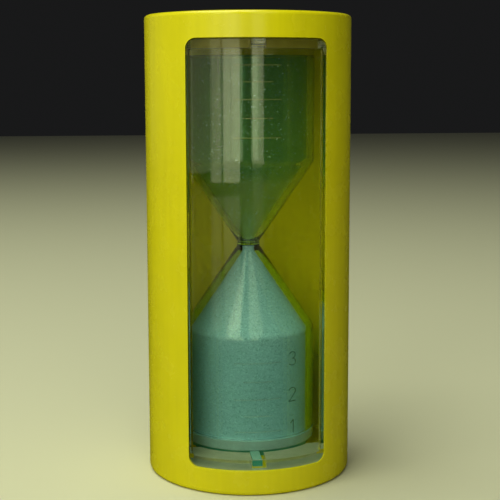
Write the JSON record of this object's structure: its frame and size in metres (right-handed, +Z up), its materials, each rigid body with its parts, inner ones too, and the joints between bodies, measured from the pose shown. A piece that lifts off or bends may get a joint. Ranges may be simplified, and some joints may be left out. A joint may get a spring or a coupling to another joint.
{
  "type": "sand timer",
  "caption": "Kitchen sand timer: a clear moulded vessel with green sand in a yellow round housing with one tall window and a clear insert.",
  "frame": {"origin": "centre of the base, on the surface the timer stands on", "axes": "+Z up along the timer's axis; -Y towards the front, the middle of the window; +X to the right seen from the front"},
  "size_m": [0.044, 0.044, 0.0982],
  "materials": {
    "housing_plastic": "smooth gloss moulding in lemon yellow",
    "insert_clear": "polished clear polystyrene",
    "vessel_clear": "clear polystyrene, dusty inside the upper bulb",
    "green_sand": "fine dyed teal-green sand, speckled"
  },
  "bodies": {
    "root": {"housing": "housing_plastic", "bottom_cap": "housing_plastic", "top_cap": "housing_plastic", "window_insert": "insert_clear", "lower_bulb": "vessel_clear", "upper_bulb": "vessel_clear", "lower_bulb_cap": "vessel_clear", "upper_bulb_cap": "vessel_clear", "orifice_plate": "vessel_clear", "sand": "green_sand"}
  },
  "joints": []
}
